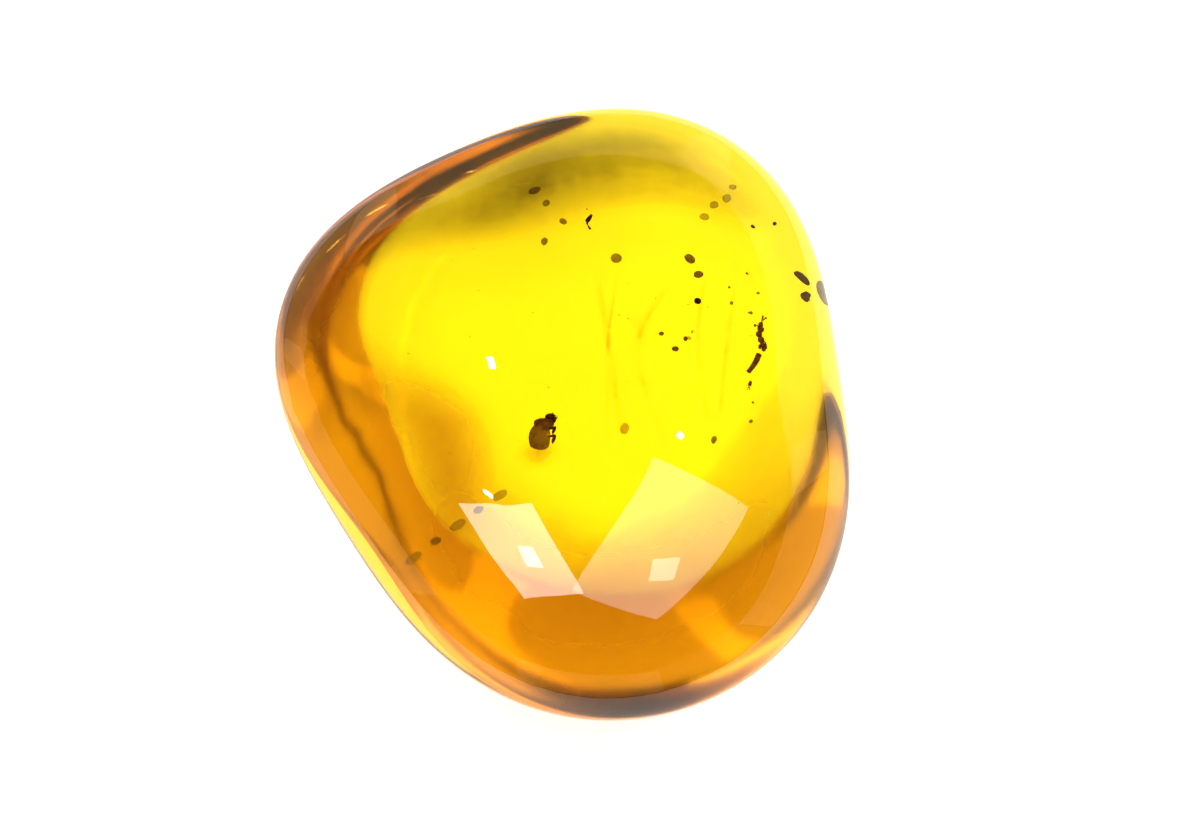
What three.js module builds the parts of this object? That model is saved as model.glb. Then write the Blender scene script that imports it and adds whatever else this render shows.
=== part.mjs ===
// A polished freeform piece of amber, the kind sold with a fossil insect sealed in it.
//
// The stone is one closed solid. In plan it is a soft triangle with well-rounded corners.
// A low crown rises above the girdle, its widest section. Below the girdle the keel draws
// in to a small worn flat, and the stone rests on that flat.
// Units are millimetres and +Z is up. The origin is on the surface the stone rests on,
// under the middle of its plan.

import * as THREE from 'three';
import { mergeVertices } from 'three/addons/utils/BufferGeometryUtils.js';

const GIRDLE = {
  radius: 10.32, // mean radius of the plan outline
  height: 7.0, // of the widest section above the rest face
  tilt: { x: -0.08, y: -0.03 }, // how much it climbs per millimetre towards that side
};

// Swells that turn the round plan into a soft triangle: how many round the outline,
// how far each stands out, and the azimuth in degrees at which it peaks.
const PLAN_SWELLS = [
  { count: 2, swell: 0.78, azimuth: 101 },
  { count: 3, swell: 0.6, azimuth: 53 },
  { count: 4, swell: 0.25, azimuth: -21 },
];

// Fullness is the exponent of a superellipse: 2 is an ellipse, and more is boxier.
const CROWN = {
  height: 3.09, // apex above the girdle
  shoulderFullness: 2.22,
  rimFullness: 1.78,
  apex: { x: -0.4, y: -0.6 }, // where the apex lies
  lean: { x: 0.08, y: -0.38 }, // how much higher the crown is on that side, as a share
};

const KEEL = {
  flatShare: 0.65, // radius of the rest face, as a share of the girdle's
  flatStretch: { share: 0.19, azimuth: 47 }, // how much longer it is one way, and which way
  flatPolar: THREE.MathUtils.degToRad(40), // polar angle at which the rest face ends
  toeFullness: 1.23,
  rimFullness: 2.71,
  shift: { x: 0.7, y: 3.3 }, // how far the rest face lies from the girdle's middle
  shiftEase: 1.5,
};

const FACES_PER_SIDE = 20; // grid of each side of the cube that becomes the stone

/** Plan radius of the girdle at an azimuth in radians. */
function girdleRadius(azimuth) {
  let radius = GIRDLE.radius;
  for (const { count, swell, azimuth: peak } of PLAN_SWELLS) {
    radius += swell * Math.cos(count * (azimuth - THREE.MathUtils.degToRad(peak)));
  }
  return radius;
}

/** Height of the girdle's plane over a point of the plan. */
function girdleHeight(x, y) {
  return GIRDLE.height + GIRDLE.tilt.x * x + GIRDLE.tilt.y * y;
}

/** A point of the crown, for a polar angle measured down from the apex. */
function crownPoint(azimuth, polar) {
  const reach = girdleRadius(azimuth) * Math.sin(polar) ** (2 / CROWN.shoulderFullness);
  const rise = Math.max(Math.cos(polar), 0) ** (2 / CROWN.rimFullness);
  const x = reach * Math.cos(azimuth);
  const y = reach * Math.sin(azimuth);
  const lean = 1 + (CROWN.lean.x * x + CROWN.lean.y * y) / GIRDLE.radius;
  return new THREE.Vector3(
    x + CROWN.apex.x * rise ** 2,
    y + CROWN.apex.y * rise ** 2,
    girdleHeight(x, y) + CROWN.height * rise * lean,
  );
}

/** Plan radius of the rest face at an azimuth in radians, as a share of the girdle's. */
function flatShareAt(azimuth) {
  const { share, azimuth: longWay } = KEEL.flatStretch;
  const turn = 2 * (azimuth - THREE.MathUtils.degToRad(longWay));
  return KEEL.flatShare * (1 + share * Math.cos(turn));
}

/** A point of the keel, for a polar angle measured up from the middle of the rest face. */
function keelPoint(azimuth, polar) {
  const flat = flatShareAt(azimuth);
  let share = (flat * polar) / KEEL.flatPolar;
  let drop = 1;
  if (polar > KEEL.flatPolar) {
    const turn = ((polar - KEEL.flatPolar) / (Math.PI / 2 - KEEL.flatPolar)) * (Math.PI / 2);
    share = flat + (1 - flat) * Math.sin(turn) ** (2 / KEEL.toeFullness);
    drop = Math.max(Math.cos(turn), 0) ** (2 / KEEL.rimFullness);
  }
  const reach = girdleRadius(azimuth) * share;
  const x = reach * Math.cos(azimuth);
  const y = reach * Math.sin(azimuth);
  const ease = drop ** KEEL.shiftEase;
  return new THREE.Vector3(
    x + KEEL.shift.x * ease,
    y + KEEL.shift.y * ease,
    girdleHeight(x, y) * (1 - drop),
  );
}

/** The stone: a cube's evenly spread grid, blown up to a ball and formed as crown and keel. */
function stoneGeometry() {
  const n = FACES_PER_SIDE;
  let geometry = new THREE.BoxGeometry(2, 2, 2, n, n, n);
  geometry.deleteAttribute('normal');
  geometry.deleteAttribute('uv');
  geometry = mergeVertices(geometry, 1e-5);

  const position = geometry.getAttribute('position');
  const direction = new THREE.Vector3();
  for (let i = 0; i < position.count; i++) {
    direction.fromBufferAttribute(position, i);
    for (const axis of ['x', 'y', 'z']) {
      direction[axis] = Math.tan((direction[axis] * Math.PI) / 4);
    }
    direction.normalize();
    const azimuth = Math.atan2(direction.y, direction.x);
    const polar = Math.acos(THREE.MathUtils.clamp(direction.z, -1, 1));
    const point = polar <= Math.PI / 2
      ? crownPoint(azimuth, polar)
      : keelPoint(azimuth, Math.PI - polar);
    position.setXYZ(i, point.x, point.y, point.z);
  }

  geometry.computeBoundingBox();
  const middle = geometry.boundingBox.getCenter(new THREE.Vector3());
  geometry.translate(-middle.x, -middle.y, 0);
  geometry.computeVertexNormals();
  return geometry;
}

const amber = new THREE.MeshStandardMaterial({
  name: 'amber',
  color: 0xe8a810,
  roughness: 0.06,
  metalness: 0,
  transparent: true,
  opacity: 0.6,
});

const specimen = new THREE.Group();
const stone = new THREE.Mesh(stoneGeometry(), amber);
stone.name = 'amber_stone';
specimen.add(stone);

export default specimen;
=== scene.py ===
"""The looks of a polished piece of amber with a fossil insect sealed in it.

The frame gives the stone as one closed, faceted solid. Here its facets are rounded to a
polished surface and it becomes clear yellow amber. Then come the things that the resin
caught before it set: a small beetle on its side, the husk of a thrips, a bent leg, a spore,
chips of bark at the edge, crumbs and dust. Flow lines and healed cracks are thin films inside
the stone. Painted light is put in too: a leaf of painted shadow under the beetle and one of
painted shade on the left, films of painted shade and painted reflection near the rim, a line
of dark crumbs as a painted reflection, and a paler painted flank on the beetle's shell.

Everything is in metres, in the frame's own axes, and sizes are written in millimetres.
Places inside the stone are shares of its box or follow its rim, so they move with it if its
size changes.
"""

import contextlib
import logging
import math
import random
from collections.abc import Callable, Iterator, Sequence
from dataclasses import dataclass, field
from enum import Enum
from typing import Any

import bmesh
import bpy
from mathutils import Matrix, Quaternion, Vector


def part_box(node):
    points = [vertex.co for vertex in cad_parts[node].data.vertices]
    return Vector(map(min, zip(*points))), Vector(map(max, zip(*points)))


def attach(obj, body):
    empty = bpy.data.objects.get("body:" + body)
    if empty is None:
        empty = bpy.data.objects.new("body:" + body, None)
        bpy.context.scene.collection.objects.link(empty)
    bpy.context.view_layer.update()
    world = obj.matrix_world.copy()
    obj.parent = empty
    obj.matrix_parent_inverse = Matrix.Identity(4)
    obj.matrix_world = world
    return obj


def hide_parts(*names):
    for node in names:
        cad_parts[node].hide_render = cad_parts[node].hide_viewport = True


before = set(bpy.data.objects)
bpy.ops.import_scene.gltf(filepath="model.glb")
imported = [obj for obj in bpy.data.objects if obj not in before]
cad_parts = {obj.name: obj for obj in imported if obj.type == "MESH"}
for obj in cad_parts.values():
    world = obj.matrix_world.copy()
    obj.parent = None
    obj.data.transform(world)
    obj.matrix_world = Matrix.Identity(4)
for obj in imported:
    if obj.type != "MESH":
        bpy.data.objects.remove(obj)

MM = 0.001
STONE_NODE = "amber_stone"
ROOT_BODY = "root"
IN_RESIN_SPECULAR = 0.08  # shell and bark bend light much as resin does, so they hardly glint

log = logging.getLogger("insect_in_amber")


# ---------------------------------------------------------------------------------------
# Small tools shared by every piece
# ---------------------------------------------------------------------------------------


def linear_rgb(hex_code: str) -> tuple[float, float, float, float]:
    """Turns an sRGB hex colour to the linear values that a shader works in.

    Args:
        hex_code: six hex digits, such as "8a4b12".

    Returns:
        Linear red, green and blue, and an alpha of 1.
    """
    channels = [int(hex_code[i : i + 2], 16) / 255 for i in (0, 2, 4)]
    linear = [c / 12.92 if c <= 0.04045 else ((c + 0.055) / 1.055) ** 2.4 for c in channels]
    return (*linear, 1.0)


def add_node(
    tree: bpy.types.NodeTree,
    kind: str,
    settings: dict[str, Any] | None = None,
    values: dict[str | int, Any] | None = None,
    links: dict[str | int, bpy.types.NodeSocket] | None = None,
) -> bpy.types.Node:
    """Adds a node to a material, with its settings, socket values and incoming links.

    Args:
        tree: the material's node tree.
        kind: the node's type name.
        settings: properties of the node itself.
        values: input sockets that hold a value.
        links: input sockets and the output socket that feeds each.

    Returns:
        The new node.
    """
    node = tree.nodes.new(kind)
    for name, setting in (settings or {}).items():
        setattr(node, name, setting)
    for socket, value in (values or {}).items():
        node.inputs[socket].default_value = value
    for socket, source in (links or {}).items():
        tree.links.new(source, node.inputs[socket])
    return node


def start_material(
    name: str,
) -> tuple[bpy.types.Material, bpy.types.NodeTree, bpy.types.Node]:
    """Starts a material that has nothing but its shader.

    Args:
        name: what the material is called.

    Returns:
        The material, its node tree and its shader.
    """
    material = bpy.data.materials.new(name)
    material.use_nodes = True
    return material, material.node_tree, material.node_tree.nodes["Principled BSDF"]


def select_only(*objects: bpy.types.Object) -> None:
    """Selects these objects and nothing else, and makes the first one active.

    Args:
        objects: what the next operators act on.
    """
    bpy.ops.object.select_all(action="DESELECT")
    for obj in objects:
        obj.select_set(True)
    if objects:
        bpy.context.view_layer.objects.active = objects[0]


@contextlib.contextmanager
def editing(obj: bpy.types.Object) -> Iterator[bmesh.types.BMesh]:
    """Opens an object in edit mode for the operators inside the with block.

    Args:
        obj: the mesh object to edit.

    Yields:
        Its edit mesh, for selecting by place or normal.
    """
    select_only(obj)
    bpy.ops.object.mode_set(mode="EDIT")
    try:
        yield bmesh.from_edit_mesh(obj.data)
    finally:
        bpy.ops.object.mode_set(mode="OBJECT")


def select_vertices(edit: bmesh.types.BMesh, wanted: Callable[[Vector], bool]) -> None:
    """Selects the vertices whose place passes a test, and what lies wholly between them.

    Args:
        edit: the mesh in edit mode.
        wanted: the test on a vertex's place.
    """
    bpy.ops.mesh.select_mode(type="VERT")
    bpy.ops.mesh.select_all(action="DESELECT")
    for vertex in edit.verts:
        if wanted(vertex.co):
            vertex.select = True
    edit.select_flush(True)


def joined(name: str, parts: Sequence[bpy.types.Object]) -> bpy.types.Object:
    """Joins parts into one mesh object with its place in its mesh.

    Args:
        name: the joined object's name.
        parts: the mesh objects to join; they are used up.

    Returns:
        The joined object, at the origin, unturned and unscaled.
    """
    select_only(*parts)
    if len(parts) > 1:
        bpy.ops.object.join()
    bpy.ops.object.transform_apply(location=True, rotation=True, scale=True)
    whole = bpy.context.view_layer.objects.active
    whole.name = whole.data.name = name
    return whole


def apply_modifiers(obj: bpy.types.Object) -> None:
    """Applies every modifier on an object, in order.

    Args:
        obj: the object to finish.
    """
    select_only(obj)
    for modifier in list(obj.modifiers):
        bpy.ops.object.modifier_apply(modifier=modifier.name)


def settle(obj: bpy.types.Object, material: bpy.types.Material) -> None:
    """Gives a finished piece its material and smooth shading and lets it ride on the stone's body.

    Args:
        obj: the finished piece.
        material: its finish.
    """
    obj.data.materials.clear()
    obj.data.materials.append(material)
    select_only(obj)
    bpy.ops.object.shade_smooth()
    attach(obj, ROOT_BODY)
    log.info("%s: %d faces", obj.name, len(obj.data.polygons))


@dataclass(frozen=True)
class Pose:
    """Where a small thing lies in the stone, and how it is turned."""

    place: Vector
    heading: float = 0.0  # degrees about +Z, from +X
    pitch: float = 0.0  # degrees that its front is raised
    roll: float = 0.0  # degrees about its own length

    def matrix(self) -> Matrix:
        """The transform from the thing's own axes, length along X and back up, to the stone's."""
        turn = (
            Matrix.Rotation(math.radians(self.heading), 4, "Z")
            @ Matrix.Rotation(-math.radians(self.pitch), 4, "Y")
            @ Matrix.Rotation(math.radians(self.roll), 4, "X")
        )
        return Matrix.Translation(self.place) @ turn


def place_mesh(obj: bpy.types.Object, pose: Pose) -> None:
    """Moves a piece built in its own axes to its place in the stone, in its mesh.

    Args:
        obj: the piece, its object at the origin.
        pose: where it goes.
    """
    obj.data.transform(pose.matrix())
    obj.data.update()


def grow_limb(
    name: str, joints: Sequence[Sequence[float]], radii: Sequence[float], smoothing: int = 2
) -> bpy.types.Object:
    """Grows a jointed limb: a chain extruded from joint to joint, skinned and smoothed.

    Args:
        name: the limb's name.
        joints: the joints' places in millimetres, from the root to the tip.
        radii: the limb's radius at each joint, in millimetres.
        smoothing: subdivision levels on the skin.

    Returns:
        The limb as a closed mesh.
    """
    places = [Vector(joint) * MM for joint in joints]
    bpy.ops.object.select_all(action="DESELECT")
    bpy.ops.mesh.primitive_plane_add(size=0.1 * MM, location=(0, 0, 0))
    limb = bpy.context.object
    with editing(limb) as edit:
        bpy.ops.mesh.select_all(action="SELECT")
        bpy.ops.mesh.merge(type="CENTER")
        bpy.ops.transform.translate(value=places[0])
        for here, there in zip(places, places[1:]):
            bpy.ops.mesh.extrude_region_move(TRANSFORM_OT_translate={"value": there - here})
    skin = limb.modifiers.new("skin", "SKIN")
    skin.use_smooth_shade = True
    for bone, radius in zip(limb.data.skin_vertices[0].data, radii):
        bone.radius = (radius * MM, radius * MM)
    limb.data.skin_vertices[0].data[0].use_root = True
    rounding = limb.modifiers.new("rounding", "SUBSURF")
    rounding.levels = rounding.render_levels = smoothing
    apply_modifiers(limb)
    limb.name = name
    return limb


# ---------------------------------------------------------------------------------------
# Finishes
# ---------------------------------------------------------------------------------------


@dataclass(frozen=True)
class PolishedAmber:
    """Clear fossil resin, tumbled and then polished by hand: glassy, with faint wavy grinding."""

    ior: float = 1.54  # amber
    absorbed: tuple[float, float, float] = (0.9973, 0.950, 0.10)  # what a long way in leaves
    density: float = 640.0  # per metre, so that blue is gone after a few millimetres
    polished_above_mm: float = 7.0  # the crown is polished down to here
    ground_below_mm: float = 5.8  # and the keel is only ground smooth below here
    ground_roughness: float = 0.10
    ripple_mm: float = 4.0  # spacing of the soft waves that hand polishing leaves
    ripple_depth_mm: float = 0.05
    ripple_strength: float = 0.25
    scratch_mm: float = 0.12  # spacing of the finest scratches
    scratch_depth_mm: float = 0.003
    scratch_strength: float = 0.05
    scratch_heading: float = 35.0  # degrees, the way that most scratches run
    scratch_roughness: float = 0.04  # how much a scratch adds

    def build(self) -> bpy.types.Material:
        """Makes the material.

        Returns:
            See-through amber with absorption, soft ripples and faint scratches.
        """
        material, tree, shader = start_material("amber_polished")
        shader.inputs["Base Color"].default_value = (1, 1, 1, 1)
        shader.inputs["Transmission Weight"].default_value = 1.0
        shader.inputs["IOR"].default_value = self.ior

        where = add_node(tree, "ShaderNodeTexCoord").outputs["Object"]
        ripples = add_node(
            tree,
            "ShaderNodeTexNoise",
            values={"Scale": 1 / (self.ripple_mm * MM), "Detail": 1.0, "Roughness": 0.4},
            links={"Vector": where},
        )
        lay = add_node(
            tree,
            "ShaderNodeMapping",
            values={
                "Rotation": (0.0, 0.0, math.radians(self.scratch_heading)),
                "Scale": (1.0, 0.06, 0.3),
            },
            links={"Vector": where},
        )
        scratches = add_node(
            tree,
            "ShaderNodeTexNoise",
            values={"Scale": 1 / (self.scratch_mm * MM), "Detail": 2.0, "Roughness": 0.5},
            links={"Vector": lay.outputs["Vector"]},
        )
        scratch_lines = add_node(
            tree,
            "ShaderNodeMapRange",
            values={"From Min": 0.62, "From Max": 0.78, "To Min": 0.0, "To Max": 1.0},
            links={"Value": scratches.outputs["Fac"]},
        )
        wave = add_node(
            tree,
            "ShaderNodeBump",
            values={"Strength": self.ripple_strength, "Distance": self.ripple_depth_mm * MM},
            links={"Height": ripples.outputs["Fac"]},
        )
        relief = add_node(
            tree,
            "ShaderNodeBump",
            settings={"invert": True},
            values={"Strength": self.scratch_strength, "Distance": self.scratch_depth_mm * MM},
            links={"Height": scratch_lines.outputs["Result"], "Normal": wave.outputs["Normal"]},
        )
        height = add_node(tree, "ShaderNodeSeparateXYZ", links={"Vector": where})
        ground = add_node(
            tree,
            "ShaderNodeMapRange",
            settings={"interpolation_type": "SMOOTHSTEP"},
            values={
                "From Min": self.ground_below_mm * MM,
                "From Max": self.polished_above_mm * MM,
                "To Min": self.ground_roughness,
                "To Max": 0.0,
            },
            links={"Value": height.outputs["Z"]},
        )
        gloss = add_node(
            tree,
            "ShaderNodeMath",
            settings={"operation": "MULTIPLY_ADD"},
            values={1: self.scratch_roughness},
            links={0: scratch_lines.outputs["Result"], 2: ground.outputs["Result"]},
        )
        tree.links.new(relief.outputs["Normal"], shader.inputs["Normal"])
        tree.links.new(gloss.outputs["Value"], shader.inputs["Roughness"])

        body = add_node(
            tree,
            "ShaderNodeVolumeAbsorption",
            values={"Color": (*self.absorbed, 1.0), "Density": self.density},
        )
        tree.links.new(body.outputs["Volume"], tree.nodes["Material Output"].inputs["Volume"])
        return material


@dataclass(frozen=True)
class Mottled:
    """A matte or waxy solid whose colour wanders between two tones, with a grained surface."""

    name: str
    dark: str  # sRGB hex
    light: str
    grain_mm: float  # size of the colour's patches
    roughness: float = 0.6
    bump: float = 0.4
    alpha: float = 1.0

    def build(self) -> bpy.types.Material:
        """Makes the material.

        Returns:
            The mottled finish.
        """
        material, tree, shader = start_material(self.name)
        shader.inputs["Roughness"].default_value = self.roughness
        shader.inputs["Alpha"].default_value = self.alpha
        shader.inputs["Specular IOR Level"].default_value = IN_RESIN_SPECULAR
        where = add_node(tree, "ShaderNodeTexCoord").outputs["Object"]
        grain = add_node(
            tree,
            "ShaderNodeTexNoise",
            values={"Scale": 1 / (self.grain_mm * MM), "Detail": 4.0, "Roughness": 0.6},
            links={"Vector": where},
        )
        tones = add_node(tree, "ShaderNodeValToRGB", links={"Fac": grain.outputs["Fac"]})
        tones.color_ramp.elements[0].position = 0.35
        tones.color_ramp.elements[0].color = linear_rgb(self.dark)
        tones.color_ramp.elements[1].position = 0.65
        tones.color_ramp.elements[1].color = linear_rgb(self.light)
        relief = add_node(
            tree,
            "ShaderNodeBump",
            values={"Strength": self.bump, "Distance": 0.2 * self.grain_mm * MM},
            links={"Height": grain.outputs["Fac"]},
        )
        tree.links.new(tones.outputs["Color"], shader.inputs["Base Color"])
        tree.links.new(relief.outputs["Normal"], shader.inputs["Normal"])
        return material


@dataclass(frozen=True)
class HollowCuticle:
    """A fossil insect's shell, a thin brown wall round a hollow, in tones that wander at random.

    Where a lit flank is given, the colour is painted paler round it and darker away from it, and
    the shell lets more light through there: painted light and shade for light that comes through a
    single wall.
    """

    name: str
    dark: str = "3c1a03"  # sRGB hex
    light: str = "8c5a0c"
    lit_flank: Vector | None = None  # middle of the painted light on the flank, in the stone's axes
    lit_flank_mm: float = 0.3
    opacity: float = 1.0  # of the shell away from its pale flank
    clearness: float = 0.55  # how much light the palest part of the flank lets through
    shade_mm: float = 0.12  # size of its lighter and darker patches
    pit_mm: float = 0.045  # spacing of the shell's fine pits
    pit_depth_mm: float = 0.01
    roughness: float = 0.5

    def build(self) -> bpy.types.Material:
        """Makes the material.

        Returns:
            The pitted brown shell.
        """
        material, tree, shader = start_material(self.name)
        shader.inputs["Roughness"].default_value = self.roughness
        shader.inputs["Specular IOR Level"].default_value = IN_RESIN_SPECULAR
        shader.inputs["Alpha"].default_value = self.opacity
        where = add_node(tree, "ShaderNodeTexCoord").outputs["Object"]
        clouds = add_node(
            tree,
            "ShaderNodeTexNoise",
            values={"Scale": 1 / (self.shade_mm * MM), "Detail": 3.0, "Roughness": 0.6},
            links={"Vector": where},
        )
        shade = clouds.outputs["Fac"]
        # Painted light and shade: paler and clearer round the lit flank, darker away from it.
        if self.lit_flank is not None:
            centre = Vector((1, 1, 1)) / (2 * self.lit_flank_mm * MM)
            local = add_node(
                tree,
                "ShaderNodeMapping",
                values={
                    "Location": tuple(-c * s for c, s in zip(self.lit_flank, centre)),
                    "Scale": tuple(centre),
                },
                links={"Vector": where},
            )
            paler = add_node(
                tree,
                "ShaderNodeTexGradient",
                settings={"gradient_type": "SPHERICAL"},
                links={"Vector": local.outputs["Vector"]},
            )
            mixed = add_node(
                tree,
                "ShaderNodeMath",
                settings={"operation": "MULTIPLY_ADD"},
                values={1: 1.1},
                links={0: paler.outputs["Fac"], 2: clouds.outputs["Fac"]},
            )
            solid = add_node(
                tree,
                "ShaderNodeMapRange",
                values={"From Min": 0.1, "To Min": self.opacity, "To Max": 1.0 - self.clearness},
                links={"Value": paler.outputs["Fac"]},
            )
            tree.links.new(solid.outputs["Result"], shader.inputs["Alpha"])
            shade = add_node(
                tree,
                "ShaderNodeMath",
                settings={"operation": "MULTIPLY"},
                values={1: 0.8},
                links={0: mixed.outputs["Value"]},
            ).outputs["Value"]
        tones = add_node(tree, "ShaderNodeValToRGB", links={"Fac": shade})
        tones.color_ramp.elements[0].position = 0.38
        tones.color_ramp.elements[0].color = linear_rgb(self.dark)
        tones.color_ramp.elements[1].position = 0.85
        tones.color_ramp.elements[1].color = linear_rgb(self.light)
        pits = add_node(
            tree,
            "ShaderNodeTexVoronoi",
            values={"Scale": 1 / (self.pit_mm * MM)},
            links={"Vector": where},
        )
        relief = add_node(
            tree,
            "ShaderNodeBump",
            values={"Strength": 0.35, "Distance": self.pit_depth_mm * MM},
            links={"Height": pits.outputs["Distance"]},
        )
        tree.links.new(tones.outputs["Color"], shader.inputs["Base Color"])
        tree.links.new(relief.outputs["Normal"], shader.inputs["Normal"])
        return material


@dataclass(frozen=True)
class FadingFilm:
    """A film too thin to have a body, patchy and faint. It makes old resin skin, air-filled cracks, and
    bands of painted shade and painted reflection near the rim.
    """

    name: str
    colour: str  # sRGB hex
    strongest: float  # alpha where the film is densest
    patch_mm: float  # size of its patches
    faintest: float = 0.2  # share of that alpha that is left between its patches
    metallic: float = 0.0  # a film of air throws light back like a mirror
    roughness: float = 0.5
    side_fade: float = 1.4  # how sharply it fades towards its long sides
    end_fade: float = 0.8  # and towards its ends

    def build(self) -> bpy.types.Material:
        """Makes the material.

        Returns:
            The faint film.
        """
        material, tree, shader = start_material(self.name)
        shader.inputs["Base Color"].default_value = linear_rgb(self.colour)
        shader.inputs["Roughness"].default_value = self.roughness
        shader.inputs["Metallic"].default_value = self.metallic
        shader.inputs["Specular IOR Level"].default_value = IN_RESIN_SPECULAR
        coordinates = add_node(tree, "ShaderNodeTexCoord")
        patches = add_node(
            tree,
            "ShaderNodeTexNoise",
            values={"Scale": 1 / (self.patch_mm * MM), "Detail": 3.0, "Roughness": 0.55},
            links={"Vector": coordinates.outputs["Object"]},
        )
        strength = add_node(
            tree,
            "ShaderNodeMapRange",
            values={
                "From Min": 0.38,
                "From Max": 0.62,
                "To Min": self.faintest,
                "To Max": 1.0,
            },
            links={"Value": patches.outputs["Fac"]},
        ).outputs["Result"]
        sides = add_node(
            tree, "ShaderNodeSeparateXYZ", links={"Vector": coordinates.outputs["UV"]}
        )
        for side, sharpness in (("Y", self.side_fade), ("X", self.end_fade)):
            wave = add_node(
                tree,
                "ShaderNodeMath",
                settings={"operation": "MULTIPLY"},
                values={1: math.pi},
                links={0: sides.outputs[side]},
            )
            hump = add_node(
                tree,
                "ShaderNodeMath",
                settings={"operation": "SINE"},
                links={0: wave.outputs[0]},
            )
            fade = add_node(
                tree,
                "ShaderNodeMath",
                settings={"operation": "POWER"},
                values={1: sharpness},
                links={0: hump.outputs[0]},
            )
            strength = add_node(
                tree,
                "ShaderNodeMath",
                settings={"operation": "MULTIPLY"},
                links={0: strength, 1: fade.outputs[0]},
            ).outputs[0]
        alpha = add_node(
            tree,
            "ShaderNodeMath",
            settings={"operation": "MULTIPLY"},
            values={1: self.strongest},
            links={0: strength},
        )
        tree.links.new(alpha.outputs[0], shader.inputs["Alpha"])
        return material


# ---------------------------------------------------------------------------------------
# The stone
# ---------------------------------------------------------------------------------------


@dataclass
class Stone:
    """The polished amber: the frame's faceted solid, rounded to a smooth surface."""

    finish: PolishedAmber = field(default_factory=PolishedAmber)
    weld_mm: float = 0.002  # loose corners closer than this are one
    smoothing: int = 2
    cover_mm: float = 0.2  # least thickness of resin over a film

    def __post_init__(self) -> None:
        """Reads the stone's box from the frame."""
        low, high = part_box(STONE_NODE)
        self.low, self.high = Vector(low), Vector(high)

    def at(self, across: float, along: float, up: float) -> Vector:
        """A place in the stone, as shares of its box.

        Args:
            across: -1 at its left side and 1 at its right side.
            along: -1 at its near end and 1 at its far end.
            up: 0 on the surface it rests on and 1 at its highest point.

        Returns:
            The place in metres.
        """
        middle = (self.low + self.high) / 2
        half = (self.high - self.low) / 2
        return Vector(
            (
                middle.x + across * half.x,
                middle.y + along * half.y,
                self.low.z + up * 2 * half.z,
            )
        )

    def skin_near(self, place: Vector) -> tuple[Vector, Vector]:
        """The nearest place on the polished surface, and the way out of the stone there.

        Args:
            place: where to look from.

        Returns:
            The place on the surface and the outward normal.
        """
        _, spot, normal, _ = self.body.closest_point_on_mesh(place)
        return spot, normal

    def rim(self, outward: Vector, up: float) -> Vector:
        """Where the skin is, straight out from the stone's middle.

        Args:
            outward: a level direction of length 1.
            up: the height, as a share of the stone's.

        Returns:
            The place on the skin.
        """
        _, spot, _, _ = self.body.ray_cast(self.at(0, 0, up), outward)
        return spot

    def kept_inside(self, place: Vector) -> Vector:
        """A place moved under the skin, if it is nearer to the surface than the cover.

        Args:
            place: the place wanted.

        Returns:
            The place itself, or the nearest one with the least cover of resin over it.
        """
        spot, outward = self.skin_near(place)
        if (spot - place).dot(outward) >= self.cover_mm * MM:
            return place
        return spot - outward * self.cover_mm * MM

    def build(self) -> bpy.types.Object:
        """Makes the smooth stone in place of the frame's solid.

        Returns:
            The stone.
        """
        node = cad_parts[STONE_NODE]
        select_only(node)
        bpy.ops.object.duplicate()
        self.body = bpy.context.object
        self.body.name = self.body.data.name = "amber_body"
        with editing(self.body):
            bpy.ops.mesh.select_all(action="SELECT")
            bpy.ops.mesh.remove_doubles(threshold=self.weld_mm * MM)
            bpy.ops.mesh.tris_convert_to_quads(
                face_threshold=math.radians(60), shape_threshold=math.radians(60)
            )
        rounding = self.body.modifiers.new("rounding", "SUBSURF")
        rounding.levels = rounding.render_levels = self.smoothing
        apply_modifiers(self.body)
        settle(self.body, self.finish.build())
        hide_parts(STONE_NODE)
        return self.body


# ---------------------------------------------------------------------------------------
# The insects, what else the resin caught, and painted shade and reflection
# ---------------------------------------------------------------------------------------


def rounded_form(
    name: str, place: Sequence[float], size: Sequence[float], segments: int = 24, rings: int = 16
) -> bpy.types.Object:
    """A smooth closed form to shape further: a ball drawn out along X.

    Args:
        name: its name.
        place: its middle in millimetres.
        size: its whole length, width and height in millimetres.
        segments: faces round its length.
        rings: faces along its length.

    Returns:
        The form, with its poles at its two ends on X.
    """
    bpy.ops.object.select_all(action="DESELECT")
    bpy.ops.mesh.primitive_uv_sphere_add(
        segments=segments,
        ring_count=rings,
        radius=0.5 * MM,
        location=(0, 0, 0),
        rotation=(0, math.pi / 2, 0),
    )
    form = bpy.context.object
    form.name = name
    bpy.ops.object.transform_apply(location=True, rotation=True, scale=True)
    with editing(form):
        bpy.ops.mesh.select_all(action="SELECT")
        bpy.ops.transform.resize(value=tuple(size))
        bpy.ops.transform.translate(value=Vector(place) * MM)
    return form


def faceted_ball(subdivisions: int) -> bpy.types.Object:
    """A closed ball a millimetre across with evenly spread faces, to shape further.

    Args:
        subdivisions: how finely it is faceted.

    Returns:
        The ball at the origin.
    """
    bpy.ops.object.select_all(action="DESELECT")
    bpy.ops.mesh.primitive_ico_sphere_add(
        subdivisions=subdivisions, radius=0.5 * MM, location=(0, 0, 0)
    )
    return bpy.context.object


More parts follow.
